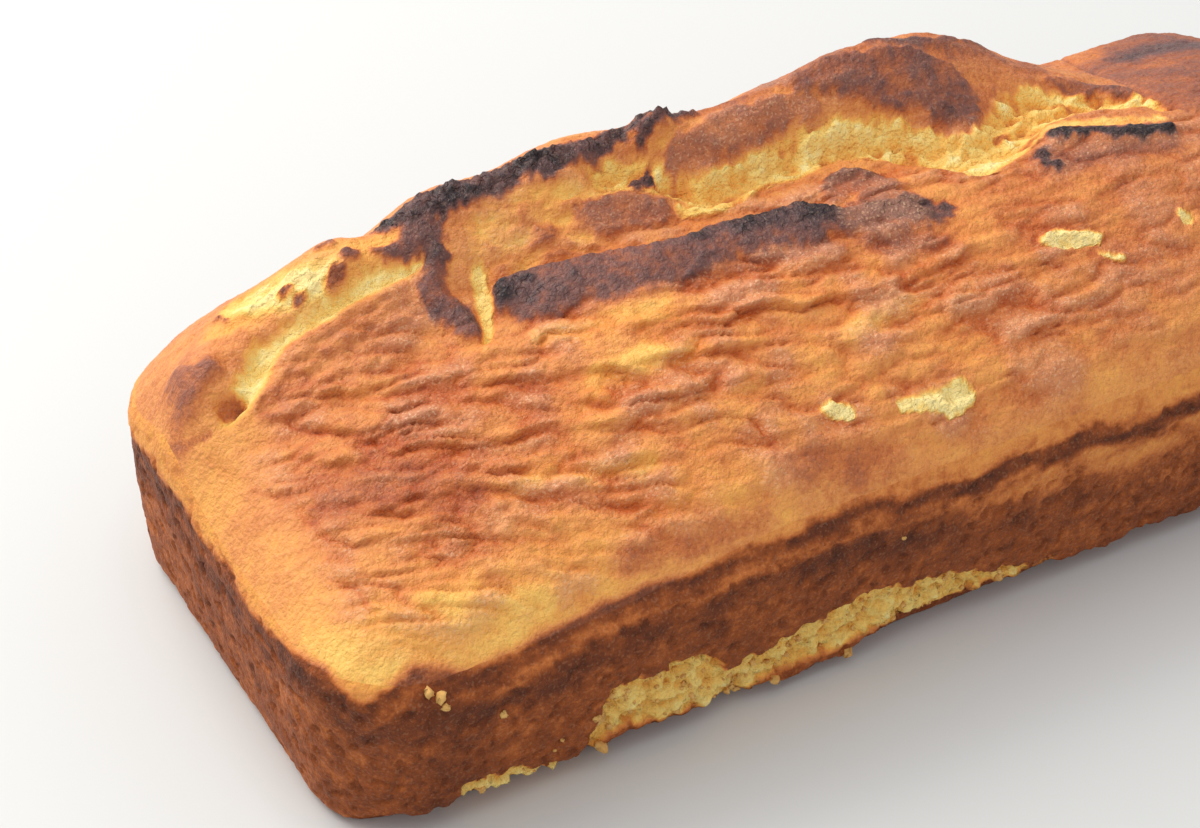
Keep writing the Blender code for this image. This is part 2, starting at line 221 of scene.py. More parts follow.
def lumps(x, y, z, size, seed):
    """Seeded unevenness between about -1 and 1, with lumps of the given size."""
    rng = np.random.default_rng(seed)
    order = rng.permutation(256)
    slopes = rng.normal(size=(256, 3))
    slopes /= np.linalg.norm(slopes, axis=1)[:, None]
    place = np.stack(np.broadcast_arrays(x, y, z), axis=-1) / size + seed * 7.37
    cell = np.floor(place).astype(int)
    part = place - cell
    ease = part ** 3 * (part * (part * 6.0 - 15.0) + 10.0)
    total = np.zeros(part.shape[:-1])
    for corner in itertools.product((0, 1), repeat=3):
        spot = (cell + corner) & 255
        key = order[(order[(order[spot[..., 0]] + spot[..., 1]) & 255] + spot[..., 2]) & 255]
        weight = np.prod(np.where(np.array(corner) == 1, ease, 1.0 - ease), axis=-1)
        total += weight * np.sum(slopes[key] * (part - corner), axis=-1)
    return total * 1.5


def stroke(x, y, points):
    """How far a place is outside a brush stroke; less than 0 inside it."""
    nearest = np.full(np.shape(x), 1.0)
    for (ax, ay, aw), (bx, by, bw) in zip(points, points[1:]):
        run_x, run_y = (bx - ax) * MM, (by - ay) * MM
        share = ((x - ax * MM) * run_x + (y - ay * MM) * run_y) / (run_x ** 2 + run_y ** 2)
        share = np.clip(share, 0.0, 1.0)
        away = np.hypot(x - ax * MM - share * run_x, y - ay * MM - share * run_y)
        nearest = np.minimum(nearest, away - (aw + (bw - aw) * share) * MM)
    return nearest


def rim_height(x, y):
    """The line that the tin's edge left."""
    far_side = smooth(y, -0.020, 0.040)
    return RIM_HEIGHT + RIM_RISE * smooth(x, -0.080, -0.035) * (1.0 - 0.9 * far_side)


def rim_distance(x, y):
    """Distance inwards from the outline of the base, a rectangle with round corners."""
    out_x = np.abs(x) - (BASE_LENGTH / 2 - CORNER_RADIUS)
    out_y = np.abs(y) - (BASE_WIDTH / 2 - CORNER_RADIUS)
    corner = np.hypot(np.maximum(out_x, 0.0), np.maximum(out_y, 0.0))
    return CORNER_RADIUS - corner - np.minimum(np.maximum(out_x, out_y), 0.0)


def swell(x, y, middle_x, middle_y, reach_x, reach_y, turn=0.0, steepness=1.0):
    """1 at the middle of a swell and 0 far from it; a steeper one has a flatter top."""
    angle = math.radians(turn)
    away_x, away_y = x - middle_x, y - middle_y
    along = (away_x * math.cos(angle) + away_y * math.sin(angle)) / reach_x
    across = (away_y * math.cos(angle) - away_x * math.sin(angle)) / reach_y
    return np.exp(-(along * along + across * across) ** steepness)


def dome_height(x, y):
    """The whole risen shape with its swells and plates, without splits or wrinkles."""
    along = np.minimum(np.abs(x) / (BASE_LENGTH / 2), 1.0)
    across = np.minimum(np.abs(y) / (BASE_WIDTH / 2), 1.0)
    inwards = np.clip(rim_distance(x, y) / SHOULDER_REACH, 0.0, 1.0)
    height = rim_height(x, y) + SHOULDER + DOME_RISE * (1.0 - across ** 1.5) * (1.0 - along ** 4)
    height += 0.0020 * (1.0 - (1.0 - inwards) ** 2)
    height -= EDGE_DROP * (1.0 - np.clip(rim_distance(x, y) / EDGE_REACH, 0.0, 1.0)) ** 1.5
    risen = smooth(x, -0.132, -0.068) * (1.0 - smooth(x, 0.036, 0.080))
    reach = np.where(y < CREST_Y, CREST_NEAR_REACH, CREST_FAR_REACH)
    height += CREST_RISE * risen * np.exp(-((y - CREST_Y) / reach) ** 2)
    for middle_x, middle_y, reach_x, reach_y, rise in SWELLS:
        height += rise * swell(x, y, middle_x, middle_y, reach_x, reach_y)
    for middle_x, middle_y, reach_x, reach_y, turn, rise in PLATES:
        height += rise * swell(x, y, middle_x, middle_y, reach_x, reach_y, turn, steepness=3.0)
    return height


def plan_point(along, across):
    """A place of the square grid, -1 to 1 each way, on the base: its point and outward direction."""
    flat_x, flat_y = along * BASE_LENGTH / 2, across * BASE_WIDTH / 2
    limit_x, limit_y = BASE_LENGTH / 2 - CORNER_RADIUS, BASE_WIDTH / 2 - CORNER_RADIUS
    inner_x, inner_y = np.clip(flat_x, -limit_x, limit_x), np.clip(flat_y, -limit_y, limit_y)
    out_x, out_y = flat_x - inner_x, flat_y - inner_y
    length = np.maximum(np.hypot(out_x, out_y), 1e-12)
    reach = np.maximum(np.abs(out_x), np.abs(out_y))
    point = inner_x + out_x * reach / length, inner_y + out_y * reach / length
    return *point, out_x / length, out_y / length


grid_along, grid_across = np.meshgrid(
    np.linspace(-1, 1, STEPS_ALONG + 1), np.linspace(-1, 1, STEPS_ACROSS + 1), indexing="ij")
top_x, top_y, _, _ = plan_point(grid_along, grid_across)
top_z = dome_height(top_x, top_y)
climb = np.hypot(np.diff(top_y, axis=1), np.diff(top_z, axis=1))
skin_y = top_y[:, :1] + np.concatenate([np.zeros((STEPS_ALONG + 1, 1)), np.cumsum(climb, axis=1)], axis=1)
ragged = 0.55 * MM * lumps(top_x, skin_y, 0.0, 0.0016, 11)
ragged += 0.75 * MM * lumps(top_x, skin_y, 0.0, 0.0045, 12)
fine_lumps = lumps(top_x, skin_y, 0.0, 0.0012, 13)
small_lumps = lumps(top_x, skin_y, 0.0, 0.0022, 14)
large_lumps = lumps(top_x, skin_y, 0.0, 0.0060, 15)
blotches = lumps(top_x, skin_y, 0.0, 0.0130, 16)
within = smooth(rim_distance(top_x, top_y), 0.0, 0.004)


def area(points, soft=0.5, torn=1.0, wider=0.0):
    """1 inside a stroke on the top and 0 outside, with a torn edge."""
    away = stroke(top_x, top_y, points) + torn * ragged - wider * MM
    return 1.0 - smooth(away, -soft * MM, soft * MM)


# Heights: the split and its lips, as broad as the real ones, and then their broken edges
valley = np.maximum(area(VALLEY, 0.7), area(VALLEY_LEFT, 0.6))
ridge = np.maximum(area(CHAR_RIDGE, 0.8, 1.3), area(RIDGE_END, 0.8, 1.3))
crack = area(LEFT_CRACK, 0.5, 0.7)
cleft = area(PALE_CLEFT, 0.4, 0.6)
pale = np.maximum.reduce([area(points, 0.3, 0.9) for points in PALE_PATCHES])
lip = np.array(CHAR_RIDGE + RIDGE_END[1:]).T * MM
lip_across = (top_y - np.interp(top_x, lip[0], lip[1])) / np.interp(top_x, lip[0], lip[2])
lip_across += 0.25 * large_lumps
lip_length = smooth(top_x, -0.0665, -0.0625) * (1.0 - 0.75 * smooth(top_x, -0.003, 0.004))
lip_length *= 1.0 - smooth(top_x, 0.012, 0.020)
for depth, broad in (
    (-3.2, 1.0 - smooth(stroke(top_x, top_y, VALLEY), -3.4 * MM, 1.6 * MM)),
    (2.9, lip_length * smooth(lip_across, -1.6, 0.5) * (1.0 - smooth(lip_across, 0.75, 1.25))),
    (-1.6, 1.0 - smooth(stroke(top_x, top_y, LEFT_CRACK), -1.2 * MM, 1.9 * MM)),
    (1.6, 1.0 - smooth(stroke(top_x, top_y, FLAP), -2.0 * MM, 1.2 * MM)),
    (-2.0, 1.0 - smooth(stroke(top_x, top_y, PALE_CLEFT), -1.2 * MM, 1.2 * MM)),
    (1.5, 1.0 - smooth(stroke(top_x, top_y, CHAR_STRIP), -1.0 * MM, 1.6 * MM)),
    (0.8, 1.0 - smooth(stroke(top_x, top_y, STRIP_BLOB), -1.0 * MM, 1.4 * MM)),
    (-2.4, 1.0 - smooth(stroke(top_x, top_y, PIT), -1.0 * MM, 1.2 * MM)),
    (0.8, area(UPPER_PLATE, 0.9, 1.5)),
    (0.6, area(PINK_PATCH, 0.9, 1.5)),
    (0.8, area(PLATE_ONE, 0.7, 1.5)),
    (1.0, area(PLATE_TWO, 0.6, 1.5)),
    (0.6, area(PLATE_THREE, 0.7, 1.5)),
    (0.9, area(CREST_KNOB, 0.8)),
    (0.8, area(CREST_CHAR, 0.8)),
    (0.6, area(SECOND_CHAR, 0.7)),
    (0.6, area(CREST_LINE, 0.7)),
    (0.7, area(PATCH_TIPS, 0.6)),
    (0.7, area(PLATE_TIP, 0.6)),
    (0.8, area(FLAP_KNOB, 0.6)),
    (0.9, np.maximum.reduce([area(points, 0.6) for points in DARK_CRUMBS])),
    (1.6, area(BROWN_KNOB, 1.6)),
    (0.9, area(ORANGE_LUMP, 1.6)),
    (1.5, area(STRAND, 1.2, 1.6)),
    (-0.6, area(THIN_CRACK, 0.4, 0.3)),
    (-0.7, area(OVERLAP, 0.8, 0.5)),
    (-0.45, crack),
    (-0.35, pale),
):
    top_z += depth * MM * broad * within

# Wrinkles: folds that run along the loaf, and slant towards the near side at the left
slant = 0.45 * 0.015 * np.log1p(np.exp(-(top_x + 0.032) / 0.015))
fold_x = top_x + 0.0040 * lumps(top_x, skin_y, 0.0, 0.012, 21)
fold_y = skin_y - slant + 0.0018 * lumps(top_x, skin_y, 0.0, 0.009, 22)
broad_fold = np.abs(lumps(fold_x / 3.6, fold_y, 0.0, 0.0036, 23)) ** 0.65
narrow_fold = np.abs(lumps(fold_x / 2.6, fold_y, 0.0, 0.0018, 24)) ** 0.7
wrinkled = smooth(top_x, -0.118, -0.100) * (1.0 - 0.50 * smooth(top_x, 0.005, 0.060))
wrinkled *= 0.35 + 0.65 * (1.0 - smooth(top_y, 0.002, 0.016))
wrinkled *= 0.55 + 0.45 * smooth(top_y, -0.047, -0.034)
patchy = 0.50 + 0.50 * smooth(blotches + 0.6 * large_lumps, -0.5, 0.4)
split = np.clip(valley + ridge + crack + cleft + pale, 0.0, 1.0)
wrinkled *= patchy * (1.0 - 0.9 * split) * within
warp_x = top_x + 1.0 * MM * lumps(top_x, top_y, 0.0, 0.0050, 26)
warp_y = top_y + 0.7 * MM * lumps(top_x, top_y, 0.0, 0.0038, 27)
warp_y += 0.25 * MM * lumps(top_x, top_y, 0.0, 0.0014, 28)
broken = 0.65 + 0.7 * lumps(top_x, top_y, 0.0, 0.0060, 29)
crease_line_shade = np.zeros_like(top_x)
big_folds = np.zeros_like(top_x)
for points in CREASES:
    nearest, offset, strength = np.full(top_x.shape, 1.0), np.zeros_like(top_x), np.zeros_like(top_x)
    for (ax, ay, aw), (bx, by, bw) in zip(points, points[1:]):
        run_x, run_y = (bx - ax) * MM, (by - ay) * MM
        from_x, from_y = warp_x - ax * MM, warp_y - ay * MM
        along = np.clip((from_x * run_x + from_y * run_y) / (run_x ** 2 + run_y ** 2), 0.0, 1.0)
        away = np.hypot(from_x - along * run_x, from_y - along * run_y)
        closer = away < nearest
        nearest = np.where(closer, away, nearest)
        offset = np.where(closer, np.sign(run_x * from_y - run_y * from_x) * away, offset)
        strength = np.where(closer, aw + (bw - aw) * along, strength)
    strength = np.clip(strength * broken, 0.0, 1.2) * (1.0 - split)
    bulge = 0.85 * np.exp(-((offset - 1.5 * MM) / (1.3 * MM)) ** 2)
    bulge -= 0.95 * np.exp(-(offset / (0.48 * MM)) ** 2)
    bulge -= 0.25 * np.exp(-((offset + 1.3 * MM) / (1.1 * MM)) ** 2)
    near_line = np.exp(-(nearest / (3.2 * MM)) ** 4)
    big_folds += bulge * strength * near_line
    # Painted shade: a dark line along the low side of each traced crease, for the colour
    crease_line_shade = np.maximum(crease_line_shade, strength * np.exp(-((offset + 0.15 * MM) / (0.50 * MM)) ** 2) * near_line)
folds = wrinkled * (1.85 * (broad_fold - 0.50) + 0.90 * (narrow_fold - 0.45))
folds += 1.15 * np.clip(big_folds, -1.2, 1.2)
plate_wrinkle = area(WRINKLED_PLATE, 1.5)
folds += 1.3 * plate_wrinkle * (np.abs(lumps(top_x / 2.0, skin_y, 0.0, 0.0026, 25)) ** 0.7 - 0.4)
top_z += MM * folds + MM * (0.17 * fine_lumps + 0.20 * small_lumps + 0.25 * large_lumps * within)

# Charred parts are blistered, and the bared crumb is full of holes
charred = np.maximum.reduce([
    ridge, area(FLAP), area(CHAR_STRIP), area(STRIP_BLOB), area(CREST_CHAR), area(CREST_KNOB),
    area(SECOND_CHAR), 0.6 * area(PLATE_ONE), 0.6 * area(PLATE_TWO), 0.6 * area(UPPER_PLATE)])
blisters = np.abs(small_lumps) ** 0.7 + 0.5 * np.abs(fine_lumps) - 0.55
jagged = np.maximum(area(CREST_CHAR), area(CREST_KNOB))
top_z += MM * within * blisters * (0.55 * charred + 0.95 * jagged)
bared = valley + 0.9 * crack + cleft + pale
bared = np.clip(bared + 0.7 * area(YELLOW_BED, 1.2) + 0.4 * area(GOLD_BANK, 2.0), 0.0, 1.0)
bared *= 1.0 - np.clip(charred, 0.0, 1.0)
flaked = area(BETWEEN, 2.2, 2.0) * (1.0 - np.clip(charred + valley + cleft, 0.0, 1.0))
strands = lumps(top_x / 1.9, skin_y, 0.0, 0.0030, 34) + 0.5 * lumps(top_x / 1.5, skin_y, 0.0, 0.0013, 35)
holes = smooth(lumps(top_x / 1.6, skin_y, 0.0, 0.0019, 31), 0.20, 0.55)
crumbling = lumps(top_x / 2.6, skin_y, 0.0, 0.0034, 32)
ragged_crumb = crumbling + 0.65 * lumps(top_x / 1.5, skin_y, 0.0, 0.0014, 33)
top_z += MM * bared * within * (1.25 * ragged_crumb - 0.9 * holes)
top_z += 1.0 * MM * flaked * strands


def paint(levels, level, mask):
    """Browns the top to a level wherever the mask is 1."""
    return levels + (level - levels) * mask


# Where the golden top ends, as heights on the near wall, and the bands of brown below that line
GOLD_EDGE = ((-118, 33.2), (-105, 34.3), (-98, 34.6), (-91, 35.7), (-84, 38.4), (-76, 40.0),
             (-65, 40.2), (-57, 39.8), (-42, 39.3), (-22, 39.8), (-12, 37.8), (-2, 36.2), (7, 37.5),
             (24, 36.6), (35, 35.1), (120, 34.6))
GOLD_EDGE_END = 0.0318
# The browning follows slanting planes, near side and end, as it does where the skin curves over
NEAR_SLANT, END_SLANT = 0.934, 1.667
BANDS_LEFT = ((-1, 0.52), (0.6, 0.68), (1.4, 0.78), (3.0, 0.76), (4.6, 0.66), (6.6, 0.62), (7.8, 0.76),
              (9.5, 0.82), (12.5, 0.78), (16, 0.71), (22, 0.69), (50, 0.69))
BANDS_RIGHT = ((-1, 0.52), (0.2, 0.66), (0.8, 0.80), (3.4, 0.80), (4.4, 0.64), (5.4, 0.50), (9.2, 0.53),
               (11.5, 0.66), (15, 0.71), (24, 0.70), (50, 0.69))
BANDS_END = ((-1, 0.50), (0.2, 0.62), (1.0, 0.75), (4.0, 0.81), (8.0, 0.78), (10.5, 0.69), (14, 0.67),
             (16.5, 0.73), (18.2, 0.67), (50, 0.67))


def rim_browning(x, y, z):
    """How brown the skin is at the rim and below it, and how far below the golden top a place lies."""
    wobble = 1.6 * MM * lumps(x, y, 0.0, 0.010, 41) + 0.7 * MM * lumps(x, y, z, 0.0036, 42)
    near_drop = np.interp(x, *(np.array(GOLD_EDGE).T * MM)) - (z + NEAR_SLANT * (y + 0.0525))
    end_drop = GOLD_EDGE_END - (z + END_SLANT * (x + 0.1224))
    other_drop = rim_height(x, y) + 0.0036 - z
    near = smooth(-y - 0.0315 + np.minimum(0.103 + x, 0.103 - x), -0.008, 0.012) * smooth(-y, 0.010, 0.030)
    far = smooth(y - 0.0315 + np.minimum(0.103 + x, 0.103 - x), -0.008, 0.012) * smooth(y, 0.010, 0.030)
    left = smooth(-x, 0.100, 0.112) * (1.0 - near) * (1.0 - far)
    corner_rise = 4.2 * MM * smooth(-x, 0.094, 0.108) * smooth(-y, 0.026, 0.038)
    corner_rise += 3.6 * MM * swell(x, y, -0.117, -0.043, 0.012, 0.012)
    drop = near * near_drop + left * end_drop + (1.0 - near - left) * other_drop
    drop = (drop + wobble + corner_rise) / MM
    right = smooth(x + 0.006 * lumps(x, y, z, 0.009, 43), -0.016, 0.008)
    level = near * (1.0 - right) * np.interp(drop, *np.array(BANDS_LEFT).T)
    level += near * right * np.interp(drop, *np.array(BANDS_RIGHT).T)
    level += (1.0 - near) * np.interp(drop, *np.array(BANDS_END).T)
    smudged = smooth(lumps(x / 2.5, y / 2.5, z, 0.0045, 45) + 0.5 * lumps(x, y, z, 0.0110, 46), -0.25, 0.55)
    level += (0.665 - level) * 0.65 * smudged
    golden = 0.43 + 0.06 * smooth(x, -0.080, -0.030) - 0.08 * near * (1.0 - smooth(x, -0.080, -0.030))
    level += (golden - level) * (1.0 - smooth(drop, -2.8, 1.6))
    strata = lumps(x / 6.0, y / 6.0, z, 0.0013, 44) * smooth(drop, -3.5, -0.5)
    strata *= 1.0 - smooth(drop, 4.0, 9.0)
    return level + 0.10 * strata, drop


# Browning, from 0 for pale crumb to 1 for char
bake = 0.49 + 0.06 * blotches + 0.05 * large_lumps + 0.03 * small_lumps
bake += 0.07 * smooth(top_x, 0.000, 0.060) * smooth(top_y, -0.048, -0.030)
bake -= 0.06 * (1.0 - smooth(top_x, -0.114, -0.103)) * (1.0 - smooth(top_y, 0.010, 0.016))
near_rim = 1.0 - smooth(top_y + 0.05 * (top_x + 0.08), -0.046, -0.034)
bake -= 0.14 * near_rim * (1.0 - smooth(top_x, -0.060, -0.020))
bake += 0.08 * swell(top_x, top_y, -0.092, -0.008, 0.030, 0.014)
bake = paint(bake, 0.36 + 0.10 * crumbling, area(GOLD_BANK, 2.5))
bake = paint(bake, 0.40 + 0.26 * strands + 0.10 * large_lumps, flaked)
hump_edge = 0.0785 + 0.022 * smooth(top_y, 0.026, 0.052) + 0.0012 * large_lumps + 0.0008 * blotches
hump_soft = 0.0012 + 0.007 * smooth(top_y, 0.022, 0.040)
hump = smooth(top_x - hump_edge, -hump_soft, hump_soft) * smooth(top_y, -0.012, 0.004)
bake = paint(bake, 0.69 + 0.06 * large_lumps, hump)
bake = paint(bake, 0.86, area(HUMP_CHAR, 3.0))
bake = paint(bake, 0.66 + 0.08 * large_lumps, area(CREST_BROWN, 2.2, 2.0))
bake = paint(bake, 0.70 + 0.06 * small_lumps, 0.9 * area(BROWN_KNOB, 2.0))
bake = paint(bake, 0.52, 0.8 * area(ORANGE_LUMP, 2.0))
bake = paint(bake, 0.57 + 0.09 * small_lumps, 0.8 * area(WRINKLED_PLATE, 2.0))
for points in BROWN_FLUSHES:
    bake = paint(bake, 0.625 + 0.05 * large_lumps, 0.8 * area(points, 2.6, 2.0, 0.8))
for points in GOLD_FLUSHES:
    bake = paint(bake, 0.24 + 0.07 * large_lumps, 0.8 * area(points, 1.9, 2.0))
# Painted shade in the bared crumb: its low places and holes are browned darker and its raised bits paler
bake = paint(bake, 0.17 - 0.22 * ragged_crumb + 0.26 * holes + 0.05 * large_lumps, np.clip(valley, 0, 1))
bake = paint(bake, 0.12 - 0.14 * ragged_crumb, area(STRAND, 0.9, 1.8))
bake = paint(bake, 0.20 - 0.20 * ragged_crumb + 0.10 * large_lumps, area(BARE_BANK, 0.9, 1.6))
bake = paint(bake, 0.56, valley * smooth(lumps(top_x / 2.0, skin_y, 0.0, 0.0034, 36), 0.34, 0.58))
bake = paint(bake, 0.03 - 0.14 * ragged_crumb, area(YELLOW_BED, 1.5))
bake = paint(bake, 0.04 - 0.12 * ragged_crumb, 0.9 * area(LEFT_CRACK, 1.2, 1.0, 0.6))
bake = paint(bake, 0.02 + 0.05 * holes, pale)
# Painted shade: the carved pit is browned dark inside the pale crack
bake = paint(bake, 0.62, area(PIT, 0.5))
# Painted shade: a brown band below the char strip's lip
bake = paint(bake, 0.70, area(STRIP_LIP_SHADE, 2.2))
for points in DARK_CRUMBS:
    bake = paint(bake, 0.74 + 0.08 * small_lumps, area(points, 0.6))
for points, level, soft in (
    (LIP_SHADE, 0.665, 2.4), (PLATE_ONE, 0.675, 0.8), (PLATE_TWO, 0.735, 0.8), (PLATE_THREE, 0.70, 0.9),
    (UPPER_PLATE, 0.70, 1.0), (PINK_PATCH, 0.725, 1.4), (CREST_LINE, 0.82, 0.7), (SECOND_CHAR, 0.82, 0.9),
    (FLAP, 0.79, 0.8), (CHAR_RIDGE, 0.785, 1.0), (RIDGE_END, 0.79, 1.0), (CREST_CHAR, 0.90, 0.8),
    (CREST_KNOB, 0.86, 0.7), (FLAP_KNOB, 0.90, 0.5), (FLAP_BLACK, 0.88, 0.9), (RIDGE_BLACK, 0.935, 1.4),
    (RIDGE_TIP, 0.92, 1.0), (END_BLACK, 0.88, 0.9), (PATCH_TIPS, 0.84, 0.6), (PLATE_TIP, 0.84, 0.6),
    (STRIP_BLOB, 0.90, 0.7), (CHAR_STRIP, 0.98, 0.5),
):
    uneven = level + 0.08 * small_lumps + 0.05 * fine_lumps + 0.11 * large_lumps
    bake = paint(bake, uneven, area(points, soft, 2.0))
# Painted shade: the cleft's crumb is paler where raised and darker where low
bake = paint(bake, 0.12 - 0.06 * ragged_crumb, cleft)
bake = paint(bake, 0.66, area(THIN_CRACK, 0.4, 0.3))
bake = paint(bake, 0.72, 0.7 * area(OVERLAP, 0.9, 0.5))
rim_level, rim_drop = rim_browning(top_x, top_y, top_z)
edge = 1.0 - smooth(rim_distance(top_x, top_y), 0.005, 0.009)
walled = edge * smooth(rim_drop, -3.5, -0.5)
bake = paint(bake, rim_level + 0.03 * small_lumps, walled)
# Painted shade: the low fold valleys and the traced creases are darkened in colour
fold_valley_shade = np.clip(1.0 - 1.9 * broad_fold, 0.0, 1.0) * np.clip(1.3 * wrinkled, 0.0, 1.0)
fine_valley_shade = 0.35 * np.clip(1.0 - 2.2 * narrow_fold, 0, 1) * wrinkled
crease_shade = np.clip(0.75 * fold_valley_shade + crease_line_shade + fine_valley_shade, 0.0, 1.0)

# Painted sheen: a dull pinkish sheen painted on the high folds of the crust and on some plates, which char
# and rim go without
painted_sheen = np.clip(wrinkled * 1.2, 0.0, 1.0) * np.clip(1.6 * broad_fold, 0.0, 1.0)
painted_sheen *= smooth(blotches + large_lumps, -0.4, 0.5)
painted_sheen *= (1.0 - walled) * (1.0 - hump)
painted_sheen *= (1.0 - 0.9 * area(BROWN_KNOB, 2.0)) * (1.0 - np.clip(charred, 0.0, 1.0))
for points in BROWN_FLUSHES:
    painted_sheen *= 1.0 - 0.6 * area(points, 2.6, 2.0, 0.8)
for points, amount in ((PLATE_ONE, 0.50), (UPPER_PLATE, 0.30), (PINK_PATCH, 0.50), (WRINKLED_PLATE, 0.15)):
    painted_sheen = np.maximum(painted_sheen, amount * area(points, 1.2, 2.0))


def shell(name, x, y, z, closed, attributes):
    """A mesh of rows and columns of points, with attributes; a closed one joins round and has a cap."""
    rows, columns = x.shape
    index = np.arange(rows * columns).reshape(rows, columns)
    if closed:
        index = np.vstack([index, index[:1]])
    quads = np.stack([index[:-1, :-1], index[1:, :-1], index[1:, 1:], index[:-1, 1:]], axis=-1)
    quads = quads.reshape(-1, 4)
    corners, starts = quads.ravel(), np.arange(0, quads.size, 4)
    if closed:
        corners, starts = np.append(corners, index[-2::-1, 0]), np.append(starts, quads.size)
    mesh = bpy.data.meshes.new(name)
    mesh.vertices.add(rows * columns)
    mesh.vertices.foreach_set("co", np.stack([x, y, z], axis=-1).astype(np.float32).ravel())
    mesh.loops.add(corners.size)
    mesh.loops.foreach_set("vertex_index", corners.astype(np.int32))
    mesh.polygons.add(starts.size)
    mesh.polygons.foreach_set("loop_start", starts.astype(np.int32))
    mesh.update(calc_edges=True)
    mesh.shade_smooth()
    for attribute, values in attributes.items():
        layer = mesh.attributes.new(attribute, "FLOAT", "POINT")
        layer.data.foreach_set("value", values.astype(np.float32).ravel())
    made = bpy.data.objects.new(name, mesh)
    bpy.context.scene.collection.objects.link(made)
    return made


class Tone:
    """A number that varies over the crust; sums and products of it add their Math nodes."""

    def __init__(self, finish, socket):
        self.finish, self.socket = finish, socket

    def math(self, operation, first, second):
        return self.finish.add("ShaderNodeMath", {"operation": operation}, {0: first, 1: second})

    def __add__(self, other):
        return self.math("ADD", self, other)

    def __radd__(self, other):
        return self.math("ADD", other, self)

    def __sub__(self, other):
        return self.math("SUBTRACT", self, other)

    def __rsub__(self, other):
        return self.math("SUBTRACT", other, self)

    def __mul__(self, other):
        return self.math("MULTIPLY", self, other)

    def __rmul__(self, other):
        return self.math("MULTIPLY", other, self)


class Finish:
    """A material of the loaf, built node by node round its own shader."""

    def __init__(self, name, **constants):
        self.material = bpy.data.materials.new(name)
        self.material.use_nodes = True
        self.tree = self.material.node_tree
        self.shader = self.tree.nodes["Principled BSDF"]
        for socket, value in constants.items():
            self.shader.inputs[socket.replace("_", " ")].default_value = value

    def add(self, kind, settings=None, sockets=None, output=0):
        node = self.tree.nodes.new(kind)
        for key, value in (settings or {}).items():
            if key == "stops":
                ramp = node.color_ramp
                for number, (place, colour) in enumerate(value):
                    stop = ramp.elements[number] if number < 2 else ramp.elements.new(place)
                    stop.position, stop.color = place, (*colour, 1.0)
            else:
                setattr(node, key, value)
        for key, value in (sockets or {}).items():
            self.feed(node.inputs[key], value)
        return Tone(self, node.outputs[output])

    def feed(self, socket, value):
        if isinstance(value, Tone):
            self.tree.links.new(value.socket, socket)
        else:
            socket.default_value = value

    def grain(self, size, detail=2.0, roughness=0.5):
        place = self.add("ShaderNodeTexCoord", output="Object")
        return self.add("ShaderNodeTexNoise", sockets={
            "Vector": place, "Scale": 1.0 / size, "Detail": detail, "Roughness": roughness})

    def worn(self, name):
        return self.add("ShaderNodeAttribute", {"attribute_name": name}, output="Fac")

    def tint(self, factor, first, second, blend="MIX"):
        return self.add("ShaderNodeMix", {"data_type": "RGBA", "blend_type": blend},
                        {0: factor, 6: first, 7: second}, output=2)

    def spread(self, value, low, high):
        return self.add("ShaderNodeMapRange", {"interpolation_type": "SMOOTHSTEP"},
                        {"Value": value, "From Min": low, "From Max": high})


# Browning steps of the crust, from bare crumb to char; the dark steps are tinted purple-grey, a painted
# part of the char's sheen
BROWNING_AND_SHEEN = (
    (0.00, (0.980, 0.800, 0.335)),
    (0.10, (0.965, 0.690, 0.205)),
    (0.22, (0.935, 0.540, 0.118)),
    (0.36, (0.870, 0.390, 0.080)),
    (0.48, (0.750, 0.280, 0.070)),
    (0.58, (0.570, 0.168, 0.042)),
    (0.68, (0.350, 0.105, 0.046)),
    (0.78, (0.195, 0.076, 0.058)),
    (0.88, (0.105, 0.052, 0.048)),
    (1.00, (0.024, 0.014, 0.015)),
)
# On the walls the dark end of the browning is redder, without the painted purple-grey sheen of the top's
# dark steps
WALL_BROWNING = BROWNING_AND_SHEEN[:6] + (
    (0.68, (0.310, 0.078, 0.020)),
    (0.78, (0.165, 0.043, 0.016)),
    (0.88, (0.090, 0.028, 0.015)),
    (1.00, (0.030, 0.014, 0.010)),
)
# Colour of the painted sheen
PAINTED_SHEEN_TINT = (0.68, 0.31, 0.17, 1.0)
# Tint multiplied in as painted shade in the creases
CREASE_SHADE_TINT = (0.74, 0.38, 0.17, 1.0)
# Colour of the painted glints
GLINT_TINT = (0.86, 0.52, 0.30, 1.0)
GLOSS_TOP, GLOSS_SIDE = 0.32, 0.12


